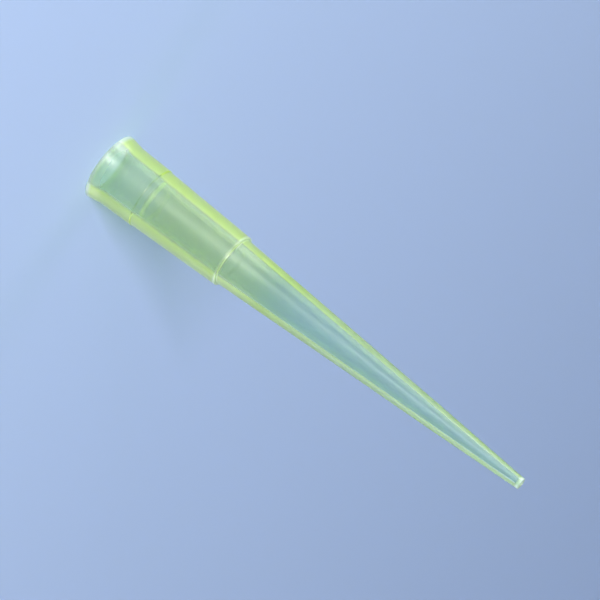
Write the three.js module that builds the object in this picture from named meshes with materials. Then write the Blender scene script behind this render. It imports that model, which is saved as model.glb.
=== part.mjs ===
// A disposable pipette tip of the 200 microlitre size: one injection moulding in translucent
// yellow polypropylene, standing on its mouth.
// Millimetres, +Z up. The origin is the centre of the mouth's rim, and Z is the axis of the bore.
// Lengths run from the mouth towards the fine end, which points up.
import * as THREE from "three";

// ---- The socket that grips the pipette's nose ----
const SOCKET_MOUTH_DIAMETER = 4.86;
const SOCKET_DEPTH = 6.0;
const SOCKET_HALF_ANGLE = THREE.MathUtils.degToRad(1.2);
const SEAT_WIDTH = 0.1; // ring at the bottom of the socket, where the nose stops
const SEAT_RISE = 0.1; // height over which that ring slopes in

// ---- The bore that holds the liquid ----
const COLLAR_BORE_DIAMETER = 3.97; // level with the ledge, where the bore starts to narrow faster
const ORIFICE_DIAMETER = 0.47;

// ---- Lengths of the outside ----
const OVERALL_LENGTH = 51.0;
const LIP_LENGTH = 1.6; // flared lip around the mouth
const BAND_LENGTH = 3.72; // nearly straight band above the lip
const COLLAR_LENGTH = 10.3; // tapered collar, from the band to the ledge
const NOZZLE_LENGTH = 9.7; // steeper stretch at the fine end

// ---- Walls, from the bore to the outside ----
const RIM_WALL = 1.14;
const BAND_WALL = 0.9;
const CONE_WALL = 0.56; // just above the ledge
const KNEE_WALL = 0.451; // where the nozzle starts
const TIP_WALL = 0.35; // at the orifice

// ---- Steps on the outside ----
const BAND_STEP = 0.06; // the collar is this much lower than the band
const BAND_STEP_LENGTH = 0.08;
const LEDGE_WIDTH = 0.25; // flat ledge that hangs the tip in a rack

// ---- Edge roundings ----
const RIM_EDGE_RADIUS = 0.1;
const SOCKET_EDGE_RADIUS = 0.1;
const LIP_BLEND_RADIUS = 5.0;
const BAND_STEP_RADIUS = 0.05;
const SEAT_RADIUS = 0.05;
const COLLAR_BORE_BLEND_RADIUS = 60.0;
const LEDGE_EDGE_RADIUS = 0.1;
const LEDGE_ROOT_RADIUS = 0.05;
const KNEE_BLEND_RADIUS = 300.0;
const TIP_EDGE_RADIUS = 0.07;
const ORIFICE_EDGE_RADIUS = 0.03;

// ---- Fineness of the round stretches ----
const SIDES = 72; // flats around the axis
const ARC_STEP = THREE.MathUtils.degToRad(24); // turn between two points of a rounding
const EDGE_SHARE = 0.45; // most of an edge that one rounding may take

// ---- Heights that follow from the lengths ----
const bandEndHeight = LIP_LENGTH + BAND_LENGTH;
const collarStartHeight = bandEndHeight + BAND_STEP_LENGTH;
const ledgeHeight = bandEndHeight + COLLAR_LENGTH;
const boreStartHeight = SOCKET_DEPTH + SEAT_RISE;
const kneeHeight = OVERALL_LENGTH - NOZZLE_LENGTH;

// Radius of the socket's wall at a height.
function socketRadiusAt(height) {
  return SOCKET_MOUTH_DIAMETER / 2 - height * Math.tan(SOCKET_HALF_ANGLE);
}

const collarBoreRadius = COLLAR_BORE_DIAMETER / 2;
const orificeRadius = ORIFICE_DIAMETER / 2;

// Radius of the long bore's wall at a height between the ledge and the orifice.
function longBoreRadiusAt(height) {
  const along = THREE.MathUtils.inverseLerp(ledgeHeight, OVERALL_LENGTH, height);
  return THREE.MathUtils.lerp(collarBoreRadius, orificeRadius, along);
}

const boreStartRadius = socketRadiusAt(SOCKET_DEPTH) - SEAT_WIDTH;
const coneTopRadius = collarBoreRadius + CONE_WALL;
const bandEndRadius = socketRadiusAt(bandEndHeight) + BAND_WALL;

// A corner of the wall's section: radius from the axis, height, and the rounding of the corner.
function corner(radius, height, rounding) {
  return { point: new THREE.Vector2(radius, height), rounding };
}

// The corners of the section, up the outside and back down the bore.
function sectionCorners() {
  const outside = [
    corner(socketRadiusAt(0) + RIM_WALL, 0, RIM_EDGE_RADIUS),
    corner(socketRadiusAt(LIP_LENGTH) + BAND_WALL, LIP_LENGTH, LIP_BLEND_RADIUS),
    corner(bandEndRadius, bandEndHeight, BAND_STEP_RADIUS),
    corner(bandEndRadius - BAND_STEP, collarStartHeight, BAND_STEP_RADIUS),
    corner(coneTopRadius + LEDGE_WIDTH, ledgeHeight, LEDGE_EDGE_RADIUS),
    corner(coneTopRadius, ledgeHeight, LEDGE_ROOT_RADIUS),
    corner(longBoreRadiusAt(kneeHeight) + KNEE_WALL, kneeHeight, KNEE_BLEND_RADIUS),
    corner(orificeRadius + TIP_WALL, OVERALL_LENGTH, TIP_EDGE_RADIUS),
  ];
  const inside = [
    corner(orificeRadius, OVERALL_LENGTH, ORIFICE_EDGE_RADIUS),
    corner(collarBoreRadius, ledgeHeight, COLLAR_BORE_BLEND_RADIUS),
    corner(boreStartRadius, boreStartHeight, SEAT_RADIUS),
    corner(socketRadiusAt(SOCKET_DEPTH), SOCKET_DEPTH, SEAT_RADIUS),
    corner(socketRadiusAt(0), 0, SOCKET_EDGE_RADIUS),
  ];
  return [...outside, ...inside];
}

// The points of one rounded corner: an arc that touches both edges that meet there.
function roundedCorner(before, here, after) {
  const toBefore = before.point.clone().sub(here.point);
  const toAfter = after.point.clone().sub(here.point);
  const room = EDGE_SHARE * Math.min(toBefore.length(), toAfter.length());
  toBefore.normalize();
  toAfter.normalize();
  const halfAngle = Math.acos(toBefore.dot(toAfter)) / 2;
  const setback = Math.min(here.rounding / Math.tan(halfAngle), room);
  const towardsCentre = toBefore.clone().add(toAfter).normalize();
  const centre = here.point.clone().addScaledVector(towardsCentre, setback / Math.cos(halfAngle));
  const start = here.point.clone().addScaledVector(toBefore, setback);
  const turn = Math.sign(toAfter.cross(toBefore)) * (Math.PI - 2 * halfAngle);
  const steps = Math.max(2, Math.ceil(Math.abs(turn) / ARC_STEP));
  return Array.from({ length: steps + 1 }, (_, step) =>
    start.clone().rotateAround(centre, (turn * step) / steps),
  );
}

// The closed section of the wall, with every corner rounded, ready to be turned about the axis.
function wallSection() {
  const corners = sectionCorners();
  const points = corners.flatMap((here, index) =>
    roundedCorner(corners.at(index - 1), here, corners[(index + 1) % corners.length]),
  );
  return [...points, points[0].clone()];
}

// The moulding: the section turned about the axis, laid from the lathe's Y axis onto Z.
function makePipetteTip() {
  const geometry = new THREE.LatheGeometry(wallSection(), SIDES);
  geometry.rotateX(Math.PI / 2);
  const material = new THREE.MeshStandardMaterial({
    color: 0xc6e08c,
    roughness: 0.28,
    metalness: 0.0,
    transparent: true,
    opacity: 0.6,
  });
  const mesh = new THREE.Mesh(geometry, material);
  mesh.name = "pipette_tip";
  return mesh;
}

const part = new THREE.Group();
part.add(makePipetteTip());

export default part;
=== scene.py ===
"""A disposable pipette tip of the 200 microlitre size, moulded in translucent yellow polypropylene."""
import math

import bpy
from mathutils import Matrix, Vector


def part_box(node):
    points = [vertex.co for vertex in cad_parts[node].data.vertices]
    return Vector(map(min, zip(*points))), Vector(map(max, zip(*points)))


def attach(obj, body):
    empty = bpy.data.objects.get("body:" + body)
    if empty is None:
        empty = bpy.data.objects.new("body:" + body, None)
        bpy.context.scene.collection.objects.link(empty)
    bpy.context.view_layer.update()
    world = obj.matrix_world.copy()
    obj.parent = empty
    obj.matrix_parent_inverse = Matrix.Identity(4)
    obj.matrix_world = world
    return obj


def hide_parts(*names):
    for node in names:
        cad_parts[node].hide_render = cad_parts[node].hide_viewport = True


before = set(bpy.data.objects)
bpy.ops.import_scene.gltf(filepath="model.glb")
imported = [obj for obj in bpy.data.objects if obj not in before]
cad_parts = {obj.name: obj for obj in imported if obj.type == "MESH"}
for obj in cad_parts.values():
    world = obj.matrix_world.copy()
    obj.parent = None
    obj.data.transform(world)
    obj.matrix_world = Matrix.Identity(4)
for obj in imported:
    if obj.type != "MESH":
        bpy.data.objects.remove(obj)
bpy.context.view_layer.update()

MM = 0.001
NODE = "pipette_tip"

foot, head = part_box(NODE)
axis_x = (foot[0] + head[0]) / 2
axis_y = (foot[1] + head[1]) / 2
middle = Vector((axis_x, axis_y, (foot[2] + head[2]) / 2))

# Sizes of the moulding in millimetres, as the inputs of its tree. Heights run up from the mouth.
MOULDING = {
    "Overall length": (head[2] - foot[2]) / MM,
    "Lip length": 1.6,
    "Band length": 3.72,
    "Collar length": 10.3,
    "Nozzle length": 9.7,
    "Socket radius": 2.43,
    "Socket depth": 6.0,
    "Socket slope": math.tan(math.radians(1.2)),
    "Seat width": 0.1,
    "Seat rise": 0.1,
    "Collar bore radius": 1.985,
    "Orifice radius": 0.235,
    "Rim wall": 1.14,
    "Band wall": 0.9,
    "Cone wall": 0.56,
    "Knee wall": 0.451,
    "Tip wall": 0.35,
    "Band step": 0.06,
    "Band step length": 0.08,
    "Ledge width": 0.25,
    "Rim edge": 0.1,
    "Socket edge": 0.1,
    "Lip blend": 5.0,
    "Band step edge": 0.05,
    "Seat edge": 0.05,
    "Collar bore blend": 60.0,
    "Ledge edge": 0.1,
    "Ledge root": 0.05,
    "Knee blend": 300.0,
    "Tip edge": 0.07,
    "Orifice edge": 0.03,
    "Ring spacing": 0.35,
}
MOULDING_COUNTS = {"Sides": 180, "Rounding steps": 8}
LATHE_RADIUS = 1.0  # the ring that the section is carried round; radii are measured from it
OUTSIDE_CORNERS = 8  # the first corners of the section lie on the outside, the rest on the bore
SIDE = "outside"  # attribute of the mesh: 1 on the outside, 0 on the bore

# Heights of the features that the finish follows, in millimetres.
MOUTH = 0.0
BAND_END = MOULDING["Lip length"] + MOULDING["Band length"]
SEAT = MOULDING["Socket depth"]
LEDGE = BAND_END + MOULDING["Collar length"]
FINE_END = MOULDING["Overall length"]
KNEE = FINE_END - MOULDING["Nozzle length"]


# ---------------------------------------------------------------- node trees
class Value:
    """A number from a node's socket; sums on values add Math nodes to its tree."""

    def __init__(self, graph, socket):
        self.graph = graph
        self.socket = socket

    def sum(self, operation, *numbers):
        inputs = dict(enumerate(numbers))
        return self.graph.value("ShaderNodeMath", {"operation": operation}, inputs)

    def __add__(self, other):
        return self.sum("ADD", self, other)

    def __radd__(self, other):
        return self.sum("ADD", other, self)

    def __sub__(self, other):
        return self.sum("SUBTRACT", self, other)

    def __rsub__(self, other):
        return self.sum("SUBTRACT", other, self)

    def __mul__(self, other):
        return self.sum("MULTIPLY", self, other)

    def __rmul__(self, other):
        return self.sum("MULTIPLY", other, self)

    def __truediv__(self, other):
        return self.sum("DIVIDE", self, other)

    def __rtruediv__(self, other):
        return self.sum("DIVIDE", other, self)

    def floor(self):
        return self.sum("FLOOR", self)

    def wrapped(self, length):
        return self.sum("MODULO", self, length)

    def at_most(self, limit):
        return self.sum("MINIMUM", self, limit)


class Graph:
    """Adds nodes to one tree, each from its type, its settings and what its sockets take."""

    def __init__(self, tree):
        self.tree = tree

    def node(self, kind, settings=None, inputs=None):
        node = self.tree.nodes.new(kind)
        for name, setting in (settings or {}).items():
            if name == "items":
                for _ in range(setting - len(node.index_switch_items)):
                    node.index_switch_items.new()
            else:
                setattr(node, name, setting)
        for key, given in (inputs or {}).items():
            self.feed(node.inputs[key], given)
        return node

    def value(self, kind, settings=None, inputs=None, output=0):
        return Value(self, self.node(kind, settings, inputs).outputs[output])

    def feed(self, socket, given):
        if isinstance(given, Value):
            self.tree.links.new(given.socket, socket)
        elif isinstance(given, bpy.types.NodeSocket):
            self.tree.links.new(given, socket)
        else:
            socket.default_value = given

    def fade(self, value, start, end):
        """0 where value is at start, 1 where it is at end."""
        ends = {"Value": value, "From Min": start, "From Max": end}
        return self.value("ShaderNodeMapRange", {"interpolation_type": "SMOOTHSTEP"}, ends)

    def mix_colours(self, first, second, share):
        colours = {"Factor": share, 6: first, 7: second}
        return self.node("ShaderNodeMix", {"data_type": "RGBA"}, colours).outputs[2]

    def mix_shaders(self, first, second, share):
        return self.node("ShaderNodeMixShader", {}, {0: share, 1: first, 2: second}).outputs["Shader"]


def mix(first, second, share):
    return first + (second - first) * share


# ---------------------------------------------------------------- the moulding
def section_corners(size):
    """Radius, height and rounding of each corner of the wall's section, up the outside, down the bore."""
    band_end = size["Lip length"] + size["Band length"]
    ledge = band_end + size["Collar length"]
    knee = size["Overall length"] - size["Nozzle length"]
    bore_start = size["Socket depth"] + size["Seat rise"]

    def socket_radius(height):
        return size["Socket radius"] - height * size["Socket slope"]

    bore_start_radius = socket_radius(size["Socket depth"]) - size["Seat width"]
    cone_length = size["Overall length"] - ledge
    bore_slope = (size["Collar bore radius"] - size["Orifice radius"]) / cone_length
    knee_radius = size["Orifice radius"] + size["Nozzle length"] * bore_slope + size["Knee wall"]
    cone_start_radius = size["Collar bore radius"] + size["Cone wall"]
    lip_end_radius = socket_radius(size["Lip length"]) + size["Band wall"]
    band_end_radius = socket_radius(band_end) + size["Band wall"]
    collar_start_radius = band_end_radius - size["Band step"]
    collar_start = band_end + size["Band step length"]
    return [
        (size["Socket radius"] + size["Rim wall"], 0.0, size["Rim edge"]),
        (lip_end_radius, size["Lip length"], size["Lip blend"]),
        (band_end_radius, band_end, size["Band step edge"]),
        (collar_start_radius, collar_start, size["Band step edge"]),
        (cone_start_radius + size["Ledge width"], ledge, size["Ledge edge"]),
        (cone_start_radius, ledge, size["Ledge root"]),
        (knee_radius, knee, size["Knee blend"]),
        (size["Orifice radius"] + size["Tip wall"], size["Overall length"], size["Tip edge"]),
        (size["Orifice radius"], size["Overall length"], size["Orifice edge"]),
        (size["Collar bore radius"], ledge, size["Collar bore blend"]),
        (bore_start_radius, bore_start, size["Seat edge"]),
        (socket_radius(size["Socket depth"]), size["Socket depth"], size["Seat edge"]),
        (size["Socket radius"], 0.0, size["Socket edge"]),
    ]


def section_outline(graph, size):
    """The closed outline of the section, marked with its side and then rounded at its corners."""
    corners = section_corners(size)
    count = len(corners)
    index = graph.value("GeometryNodeInputIndex")
    places = {"Index": index}
    roundings = {"Index": index}
    for number, (radius, height, rounding) in enumerate(corners):
        place = {"X": radius - LATHE_RADIUS, "Y": 0 - height}
        places[str(number)] = graph.value("ShaderNodeCombineXYZ", {}, place)
        roundings[str(number)] = rounding
    place = graph.value("GeometryNodeIndexSwitch", {"data_type": "VECTOR", "items": count}, places)
    rounding = graph.value("GeometryNodeIndexSwitch", {"data_type": "FLOAT", "items": count}, roundings)
    on_outside = graph.value(
        "FunctionNodeCompare",
        {"data_type": "INT", "operation": "LESS_THAN"},
        {2: index, 3: OUTSIDE_CORNERS},
    )
    line = graph.node("GeometryNodeCurvePrimitiveLine").outputs["Curve"]
    points = graph.value("GeometryNodeResampleCurve", {"mode": "COUNT"}, {"Curve": line, "Count": count})
    outline = graph.value("GeometryNodeSetPosition", {}, {"Geometry": points, "Position": place})
    marked = graph.value(
        "GeometryNodeStoreNamedAttribute",
        {"data_type": "FLOAT", "domain": "POINT"},
        {"Geometry": outline, "Name": SIDE, "Value": on_outside},
    )
    closed = graph.value("GeometryNodeSetSplineCyclic", {}, {"Geometry": marked, "Cyclic": True})
    return graph.value(
        "GeometryNodeFilletCurve",
        {"mode": "POLY"},
        {"Curve": closed, "Count": size["Rounding steps"], "Radius": rounding},
    )


def cut_finely(graph, outline, spacing):
    """The outline with each of its edges cut into pieces shorter than the spacing."""
    here = graph.value("GeometryNodeInputPosition")
    index = graph.value("GeometryNodeInputIndex")
    count = graph.value("GeometryNodeAttributeDomainSize", {"component": "CURVE"}, {"Geometry": outline})
    there = graph.value(
        "GeometryNodeFieldAtIndex",
        {"data_type": "FLOAT_VECTOR", "domain": "POINT"},
        {"Index": (index + 1).wrapped(count), "Value": here},
    )
    edge = graph.value("ShaderNodeVectorMath", {"operation": "DISTANCE"}, {0: here, 1: there}, "Value")
    cuts = (edge / spacing).floor()
    return graph.value("GeometryNodeSubdivideCurve", {}, {"Curve": outline, "Cuts": cuts})


def moulding_tree(material):
    """The tree that rounds the wall's section, cuts it finely and turns it about the axis."""
    tree = bpy.data.node_groups.new("turned moulding", "GeometryNodeTree")
    tree.interface.new_socket("Geometry", in_out="OUTPUT", socket_type="NodeSocketGeometry")
    for name in MOULDING:
        tree.interface.new_socket(name, in_out="INPUT", socket_type="NodeSocketFloat")
    for name in MOULDING_COUNTS:
        tree.interface.new_socket(name, in_out="INPUT", socket_type="NodeSocketInt")
    graph = Graph(tree)
    given = graph.node("NodeGroupInput")
    size = {name: Value(graph, given.outputs[name]) for name in (*MOULDING, *MOULDING_COUNTS)}
    section = cut_finely(graph, section_outline(graph, size), size["Ring spacing"])
    lathe = graph.node(
        "GeometryNodeCurvePrimitiveCircle",
        {"mode": "RADIUS"},
        {"Resolution": size["Sides"], "Radius": LATHE_RADIUS},
    )
    wall = graph.value(
        "GeometryNodeCurveToMesh",
        {},
        {"Curve": lathe.outputs["Curve"], "Profile Curve": section, "Fill Caps": False},
    )
    outward = graph.value("GeometryNodeFlipFaces", {}, {"Mesh": wall})
    smooth = graph.value("GeometryNodeSetShadeSmooth", {}, {"Geometry": outward, "Shade Smooth": True})
    metres = graph.value("GeometryNodeTransform", {}, {"Geometry": smooth, "Scale": (MM, MM, MM)})
    real = graph.value("GeometryNodeRealizeInstances", {}, {"Geometry": metres})
    finished = graph.value("GeometryNodeSetMaterial", {}, {"Geometry": real, "Material": material})
    out = graph.node("NodeGroupOutput")
    graph.feed(out.inputs["Geometry"], finished)
    return tree


def make_moulding(material):
    """The tip as one plain mesh."""
    tree = moulding_tree(material)
    blank = bpy.data.objects.new("moulding_blank", bpy.data.meshes.new("moulding_blank"))
    bpy.context.scene.collection.objects.link(blank)
    turned = blank.modifiers.new("turned moulding", "NODES")
    turned.node_group = tree
    for item in tree.interface.items_tree:
        if item.in_out == "INPUT":
            turned[item.identifier] = {**MOULDING, **MOULDING_COUNTS}[item.name]
    depsgraph = bpy.context.evaluated_depsgraph_get()
    mesh = bpy.data.meshes.new_from_object(blank.evaluated_get(depsgraph), depsgraph=depsgraph)
    mesh.transform(Matrix.Translation((axis_x, axis_y, foot[2])))
    mesh.name = "moulded_tip"
    bpy.data.objects.remove(blank)
    piece = bpy.data.objects.new("moulded_tip", mesh)
    bpy.context.scene.collection.objects.link(piece)
    return piece


# ---------------------------------------------------------------- materials
def new_material(name):
    material = bpy.data.materials.new(name)
    material.use_nodes = True
    material.node_tree.nodes.clear()
    return material, Graph(material.node_tree)


def opaque(colour):
    return (*colour, 1.0)


# Colours of the plastic. Milk is the share of it that scatters light instead of letting it through.
# The clear tints are partly painted. Besides the thick wall, the collar's tint is deepened as painted shade
# seen through it. The thin wall's tint is painted bluish for a blue backdrop seen through it.
CLEAR_THICK_WALL_AND_SHADE = (0.645, 0.77, 0.555)
CLEAR_THIN_WALL_AND_BACKDROP = (0.68, 0.825, 0.86)
PALE_MILK = (0.445, 0.62, 0.06)
DEEP_MILK = (0.43, 0.605, 0.02)
# The white milk at the rim, the fine end, the ledge and the seat is partly a painted highlight, for glints
# along those edges.
WHITE_MILK_AND_GLINT = (0.56, 0.69, 0.50)
DYE_COLOUR = (0.96, 0.995, 0.28)  # what the dye lets through
DYE_DENSITY = 300.0
LIGHT_THROUGH = (0.62, 0.73, 0.42)  # what one face lets through to whatever it shades
DEEPER_BELOW_LEDGE = 0.7  # how much deeper the milk's yellow is just under the ledge
# painted highlight, in part: whiter milk at the ledge and the seat
WHITER_GLINT_AT_STEPS = 0.5  # how white the milk is at the ledge and the seat, against the rim

# Gloss. The glaze is a satin coat; its weight differs from place to place.
INDEX = 1.49
ROUGHNESS = 0.07
SWIRL_ROUGHNESS = 0.09
FLOW_LINE_ROUGHNESS = 0.03
GLAZE_INDEX = 2.4
GLAZE_ROUGHNESS = 0.36
GLAZE_ON_COLLAR = 1.0
GLAZE_ON_CONE = 0.32
GLAZE_AT_STEP = 0.35
GLAZE_IN_MOUTH = 0.3
MILK_ROUGHNESS = 0.45
MILK_DEPTH = 0.3 * MM
MILK_SPREAD = (1.0, 1.0, 0.5)  # how far each colour scatters, as a share of that depth

# Slow swirls in the melt, and fine lines where it flowed along the axis.
SWIRL_SCALE = 260.0
SWIRL_DETAIL = 3.0
SWIRL_CONTRAST = (0.35, 0.65)
FLOW_LINE_SCALE = (1400.0, 1400.0, 60.0)
FLOW_LINE_DETAIL = 2.0
FLOW_LINE_STRENGTH = 0.03
FLOW_LINE_HEIGHT = 0.05 * MM

# How milky the plastic looks: through its walls, where they're seen edge on, and at its steps and ends,
# where the extra milk is partly a painted highlight.
MILK_IN_THICK_WALL = 0.045
MILK_IN_THIN_WALL = 0.02
LEAST_SWIRL = 0.5  # what the swirls leave of the milk where they're weakest
MILK_AT_EDGES = 0.80  # on the collar; it falls towards the fine end
MILK_AT_FINE_EDGES = 0.31
MILK_AT_BORE_EDGES = 0.08
# At the rim, seat, ledge and fine end, the extra milk is partly the plastic's own scatter and partly a
# painted highlight, for the glints along those edges.
MILK_AND_GLINT_AT_RIM = 0.42
MILK_AT_LIP = 0.03
MILK_AND_GLINT_AT_LEDGE = 0.24
MILK_AND_GLINT_AT_SEAT = 0.28
MILK_AND_GLINT_AT_FINE_END = 0.40
MOST_MILK = 0.95

# How far a face has turned away where the line of sight starts to miss the bore: there the wall is seen
# edge on. It follows from the bore's share of the outside's radius.
EDGE_ON_COLLAR = 0.295
EDGE_ON_ABOVE_LEDGE = 0.37
EDGE_ON_AT_KNEE = 0.21
EDGE_ON_SOFTNESS = 0.045

# Where each zone of the finish starts and where it's full, in millimetres from the feature it's named
# after. The ones that say mouth, rim or lip are measured from the mouth.
RIM_ZONE = (0.65, 0.15)
LIP_ZONE = (2.0, 0.6)
INSIDE_MOUTH_ZONE = (3.0, 1.5)
PAST_MOUTH_ZONE = (3.0, 8.0)
CONE_ZONE = (-0.1, 0.0)  # from the ledge, as the next three
THIN_WALL_ZONE = (0.0, 6.0)
PALE_CONE_ZONE = (-2.5, 9.5)
SLIM_ZONE = (-4.0, 20.0)
FINE_END_ZONE = (-0.5, -0.15)

# The bands of the finish: from and to, in millimetres from the feature, and the soft margin on both sides.
STEP_BAND = (0.0, MOULDING["Band step length"], 0.1)
SEAT_BAND = (-0.05, 0.15, 0.2)
LEDGE_BAND = (-0.15, 0.02, 0.18)
BELOW_LEDGE_BAND = (-0.7, -0.2, 0.3)


class Zones:
    """Where the finish differs: masks that are 1 in a zone and 0 away from it."""

    def __init__(self, graph):
        self.graph = graph
        self.place = graph.node("ShaderNodeTexCoord").outputs["Object"]
        self.height = graph.value("ShaderNodeSeparateXYZ", {}, {"Vector": self.place}, "Z") / MM
        self.outside = graph.value("ShaderNodeAttribute", {"attribute_name": SIDE}, {}, "Fac")
        self.rim = self.from_height(MOUTH, RIM_ZONE)
        self.lip = self.from_height(MOUTH, LIP_ZONE)
        self.inside_mouth = self.from_height(MOUTH, INSIDE_MOUTH_ZONE) * (1 - self.outside)
        self.past_mouth = self.from_height(MOUTH, PAST_MOUTH_ZONE)
        self.step = self.band(BAND_END, STEP_BAND) * self.outside
        self.seat = self.band(SEAT, SEAT_BAND) * (1 - self.outside)
        self.below_ledge = self.band(LEDGE, BELOW_LEDGE_BAND)
        self.ledge = self.band(LEDGE, LEDGE_BAND) * self.outside
        self.cone = self.from_height(LEDGE, CONE_ZONE)
        self.thin_wall = self.from_height(LEDGE, THIN_WALL_ZONE)
        self.pale_cone = self.from_height(LEDGE, PALE_CONE_ZONE)
        self.slimness = self.from_height(LEDGE, SLIM_ZONE)
        self.fine_end = self.from_height(FINE_END, FINE_END_ZONE)

    def from_height(self, feature, zone):
        """0 where the zone starts, 1 where it's full."""
        start, end = zone
        return self.graph.fade(self.height, feature + start, feature + end)

    def band(self, feature, zone):
        """1 in the band, falling to 0 over its soft margin on both sides."""
        low, high, soft = zone
        rise = self.from_height(feature, (low - soft, low))
        return rise * self.from_height(feature, (high + soft, high))


def milky_share(graph, zones, swirls):
    """How much of the plastic scatters light: more where more of it lies behind the surface, and more at the
    rim, seat, ledge and fine end, partly as a painted highlight.
    """
    wall = mix(MILK_IN_THICK_WALL, MILK_IN_THIN_WALL, zones.thin_wall) * (LEAST_SWIRL + swirls)
    facing = graph.value("ShaderNodeLayerWeight", {}, {"Blend": 0.5}, "Facing")
    up_cone = (zones.height - LEDGE) / (KNEE - LEDGE)
    edge_on_cone = mix(EDGE_ON_ABOVE_LEDGE, EDGE_ON_AT_KNEE, up_cone)
    edge_on = mix(EDGE_ON_COLLAR, edge_on_cone, zones.cone)
    seen_edge_on = graph.fade(facing, edge_on - EDGE_ON_SOFTNESS, edge_on + EDGE_ON_SOFTNESS)
    outer_edges = mix(MILK_AT_EDGES, MILK_AT_FINE_EDGES, zones.slimness)
    milk = (
        wall
        + mix(MILK_AT_BORE_EDGES, outer_edges, zones.outside) * seen_edge_on
        # painted highlight, in part: extra milk at the rim, seat, ledge and fine end
        + MILK_AND_GLINT_AT_RIM * zones.rim * zones.outside
        + MILK_AT_LIP * zones.lip
        + MILK_AND_GLINT_AT_SEAT * zones.seat
        + MILK_AND_GLINT_AT_LEDGE * zones.ledge
        + MILK_AND_GLINT_AT_FINE_END * zones.fine_end
    )
    return milk.at_most(MOST_MILK)


def clear_colour(graph, zones):
    """Deep in the collar, for its thick wall and as painted shade seen through it; pale at the mouth and up
    the cone, and painted bluish there for a blue backdrop seen through the thin wall.
    """
    paleness = mix(1, zones.pale_cone, zones.past_mouth)
    return graph.mix_colours(opaque(CLEAR_THICK_WALL_AND_SHADE), opaque(CLEAR_THIN_WALL_AND_BACKDROP), paleness)


def milk_colour(graph, zones, swirls):
    """Yellow, deeper in the swirls and under the ledge, and whitish at the steps and ends, where the white
    is partly a painted highlight.
    """
    depth = graph.fade(swirls, *SWIRL_CONTRAST) + DEEPER_BELOW_LEDGE * zones.below_ledge
    yellow = graph.mix_colours(opaque(PALE_MILK), opaque(DEEP_MILK), depth)
    # painted highlight, in part: the milk turns white at the rim, fine end, ledge and seat
    glint_whiteness = zones.rim + zones.fine_end + WHITER_GLINT_AT_STEPS * (zones.ledge + zones.seat)
    return graph.mix_colours(yellow, opaque(WHITE_MILK_AND_GLINT), glint_whiteness)


def glaze_weight(zones):
    """How strong the satin coat is: weaker on the cone, at the band's step and just inside the mouth."""
    gloss = mix(GLAZE_ON_COLLAR, GLAZE_ON_CONE, zones.thin_wall)
    gloss = mix(gloss, GLAZE_AT_STEP, zones.step)
    return mix(gloss, GLAZE_IN_MOUTH, zones.inside_mouth)


def yellow_polypropylene():
    """Translucent polypropylene: clear enough to see through, milky where its wall is seen edge on."""
    material, graph = new_material("yellow_polypropylene")
    zones = Zones(graph)
    swirl = {"Vector": zones.place, "Scale": SWIRL_SCALE, "Detail": SWIRL_DETAIL}
    swirls = graph.value("ShaderNodeTexNoise", {}, swirl)
    stretched = graph.value("ShaderNodeMapping", {}, {"Vector": zones.place, "Scale": FLOW_LINE_SCALE})
    flow_line = {"Vector": stretched, "Scale": 1.0, "Detail": FLOW_LINE_DETAIL}
    flow_lines = graph.value("ShaderNodeTexNoise", {}, flow_line)
    bump = {"Strength": FLOW_LINE_STRENGTH, "Distance": FLOW_LINE_HEIGHT, "Height": flow_lines}
    glaze = {
        "IOR": INDEX,
        "Coat Weight": glaze_weight(zones),
        "Coat IOR": GLAZE_INDEX,
        "Coat Roughness": GLAZE_ROUGHNESS,
        "Normal": graph.node("ShaderNodeBump", {}, bump).outputs["Normal"],
    }
    clear = graph.node(
        "ShaderNodeBsdfPrincipled",
        {},
        {
            "Base Color": clear_colour(graph, zones),
            "Roughness": ROUGHNESS + SWIRL_ROUGHNESS * swirls + FLOW_LINE_ROUGHNESS * flow_lines,
            "Transmission Weight": 1.0,
            **glaze,
        },
    )
    milky = graph.node(
        "ShaderNodeBsdfPrincipled",
        {},
        {
            "Base Color": milk_colour(graph, zones, swirls),
            "Roughness": MILK_ROUGHNESS,
            "Subsurface Weight": 1.0,
            "Subsurface Radius": MILK_SPREAD,
            "Subsurface Scale": MILK_DEPTH,
            **glaze,
        },
    )
    milk = milky_share(graph, zones, swirls)
    body = graph.mix_shaders(clear.outputs["BSDF"], milky.outputs["BSDF"], milk)

    # Lamps shine through, so the floor and the far wall behind the plastic are lit, in a tinted shadow.
    shine = graph.node("ShaderNodeBsdfTransparent", {}, {"Color": opaque(LIGHT_THROUGH)})
    lamp_ray = graph.node("ShaderNodeLightPath").outputs["Is Shadow Ray"]
    surface = graph.mix_shaders(body, shine.outputs["BSDF"], lamp_ray)
    dye_inputs = {"Color": opaque(DYE_COLOUR), "Density": DYE_DENSITY}
    dye = graph.node("ShaderNodeVolumeAbsorption", {}, dye_inputs)
    out = {"Surface": surface, "Volume": dye.outputs["Volume"]}
    graph.node("ShaderNodeOutputMaterial", {}, out)
    return material


FLOOR_COLOUR = (0.46, 0.59, 0.82)
FLOOR_ROUGHNESS = 0.9
FLOOR_SHINE = 0.2
EVEN_SHARE = 0.25  # how much of the backdrop's colour is seen evenly bright, without shading


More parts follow.
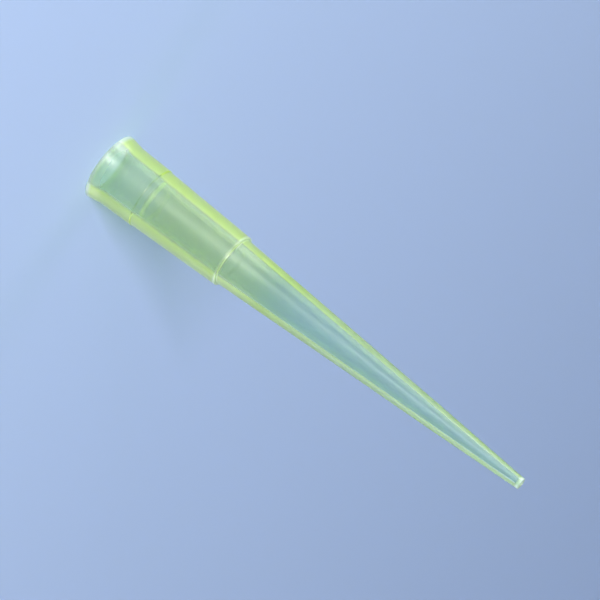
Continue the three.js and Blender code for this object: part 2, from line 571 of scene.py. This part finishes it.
def pale_backdrop():
    """The plain floor and its walls: shaded, so they keep the shadow, with an even share of their colour."""
    material, graph = new_material("pale_backdrop")
    colour = opaque(FLOOR_COLOUR)
    matt = {"Base Color": colour, "Roughness": FLOOR_ROUGHNESS, "Specular IOR Level": FLOOR_SHINE}
    lit = graph.node("ShaderNodeBsdfPrincipled", {}, matt)
    even = graph.node("ShaderNodeEmission", {}, {"Color": colour, "Strength": 1.0})
    path = graph.node("ShaderNodeLightPath")
    camera = Value(graph, path.outputs["Is Camera Ray"])
    glossy = Value(graph, path.outputs["Is Glossy Ray"])
    through = Value(graph, path.outputs["Is Transmission Ray"])
    share = EVEN_SHARE * (camera + glossy + through)
    surface = graph.mix_shaders(lit.outputs["BSDF"], even.outputs["Emission"], share)
    graph.node("ShaderNodeOutputMaterial", {}, {"Surface": surface})
    return material


# ---------------------------------------------------------------- stage, light and camera
FLOOR_RADIUS = 0.55
SWEEP_RADIUS = 0.35
WALL_HEIGHT = 0.9
BOWL_SIDES = 96
SWEEP_STEPS = 16


def backdrop_outline():
    """Radius and height of the backdrop's rings, from the floor's middle to the top of its wall."""
    outline = [(0.0, 0.0), (FLOOR_RADIUS / 2, 0.0)]
    for step in range(SWEEP_STEPS + 1):
        turn = math.pi / 2 * step / SWEEP_STEPS
        out = FLOOR_RADIUS + SWEEP_RADIUS * math.sin(turn)
        up = SWEEP_RADIUS * (1 - math.cos(turn))
        outline.append((out, up))
    outline.append((FLOOR_RADIUS + SWEEP_RADIUS, WALL_HEIGHT))
    return outline


def make_stage():
    """A round floor that sweeps up into a wall, so that every side has the same plain background."""
    rings = backdrop_outline()[1:]
    points = [(0.0, 0.0, 0.0)]
    faces = []
    for radius, height in rings:
        for side in range(BOWL_SIDES):
            angle = 2 * math.pi * side / BOWL_SIDES
            points.append((radius * math.cos(angle), radius * math.sin(angle), height))
    for side in range(BOWL_SIDES):
        after = (side + 1) % BOWL_SIDES
        faces.append((0, 1 + side, 1 + after))
        for ring in range(len(rings) - 1):
            inner = 1 + ring * BOWL_SIDES
            outer = inner + BOWL_SIDES
            faces.append((inner + side, outer + side, outer + after, inner + after))
    mesh = bpy.data.meshes.new("backdrop")
    mesh.from_pydata([(x + axis_x, y + axis_y, z + foot[2]) for x, y, z in points], [], faces)
    mesh.shade_smooth()
    mesh.materials.append(pale_backdrop())
    backdrop = bpy.data.objects.new("backdrop", mesh)
    bpy.context.scene.collection.objects.link(backdrop)


CAMERA_ELEVATION = math.radians(14.8)
CAMERA_DISTANCE = 0.5
AXIS_TILT = math.radians(37.62)  # how far the fine end points below the view's right-hand side
LENS = 316.4
AIM_RIGHT = -1.181 * MM  # the aim point, from the middle of the tip
AIM_UP = 2.177 * MM
NEAREST_SEEN = 0.01
FARTHEST_SEEN = 10.0


def camera_directions():
    """The camera's right, up and backward directions, with the fine end pointing down to the right."""
    back = Vector((0, -math.cos(CAMERA_ELEVATION), math.sin(CAMERA_ELEVATION)))
    along = (Vector((0, 0, 1)) - back * back.z).normalized()
    right = along * math.cos(AXIS_TILT) + back.cross(along) * math.sin(AXIS_TILT)
    return right, back.cross(right), back


def make_camera():
    right, up, back = camera_directions()
    aim = middle + right * AIM_RIGHT + up * AIM_UP
    camera = bpy.data.objects.new("camera", bpy.data.cameras.new("camera"))
    camera.data.lens = LENS
    camera.data.clip_start = NEAREST_SEEN
    camera.data.clip_end = FARTHEST_SEEN
    turned = Matrix((right, up, back)).transposed().to_4x4()
    camera.matrix_world = Matrix.Translation(aim + back * CAMERA_DISTANCE) @ turned
    bpy.context.scene.collection.objects.link(camera)
    bpy.context.scene.camera = camera


WORLD_STRENGTH = 0.10
LAMP_DISTANCE = 0.6
# Each lamp's direction from the tip, its width and height in metres and its power in watts.
LAMPS = {
    "key": (Vector((-0.97, -0.22, 0.12)), (0.36, 0.14), 1.7),
    "top": (Vector((-0.08, -0.76, 0.64)), (0.08, 0.08), 3.4),
    "front": (Vector((-0.3, -0.95, 0.12)), (0.12, 0.14), 0.7),
    "fill": (Vector((0.95, 0.31, 0.12)), (0.24, 0.14), 1.35),
}


def make_lamp(name, direction, size, power):
    """A soft lamp that faces the tip from a direction."""
    data = bpy.data.lights.new(name, "AREA")
    data.shape = "RECTANGLE"
    data.size, data.size_y = size
    data.energy = power
    lamp = bpy.data.objects.new(name, data)
    lamp.location = middle + direction.normalized() * LAMP_DISTANCE
    lamp.rotation_mode = "QUATERNION"
    lamp.rotation_quaternion = (-direction).to_track_quat("-Z", "Y")
    bpy.context.scene.collection.objects.link(lamp)


def make_light():
    scene = bpy.context.scene
    scene.view_settings.view_transform = "Standard"
    world = bpy.data.worlds.new("studio")
    world.use_nodes = True
    background = world.node_tree.nodes["Background"]
    background.inputs["Color"].default_value = (1.0, 1.0, 1.0, 1.0)
    background.inputs["Strength"].default_value = WORLD_STRENGTH
    scene.world = world
    for name, (direction, size, power) in LAMPS.items():
        make_lamp(name, direction, size, power)


make_camera()
make_stage()
make_light()
moulded_tip = make_moulding(yellow_polypropylene())
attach(moulded_tip, "root")
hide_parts(NODE)
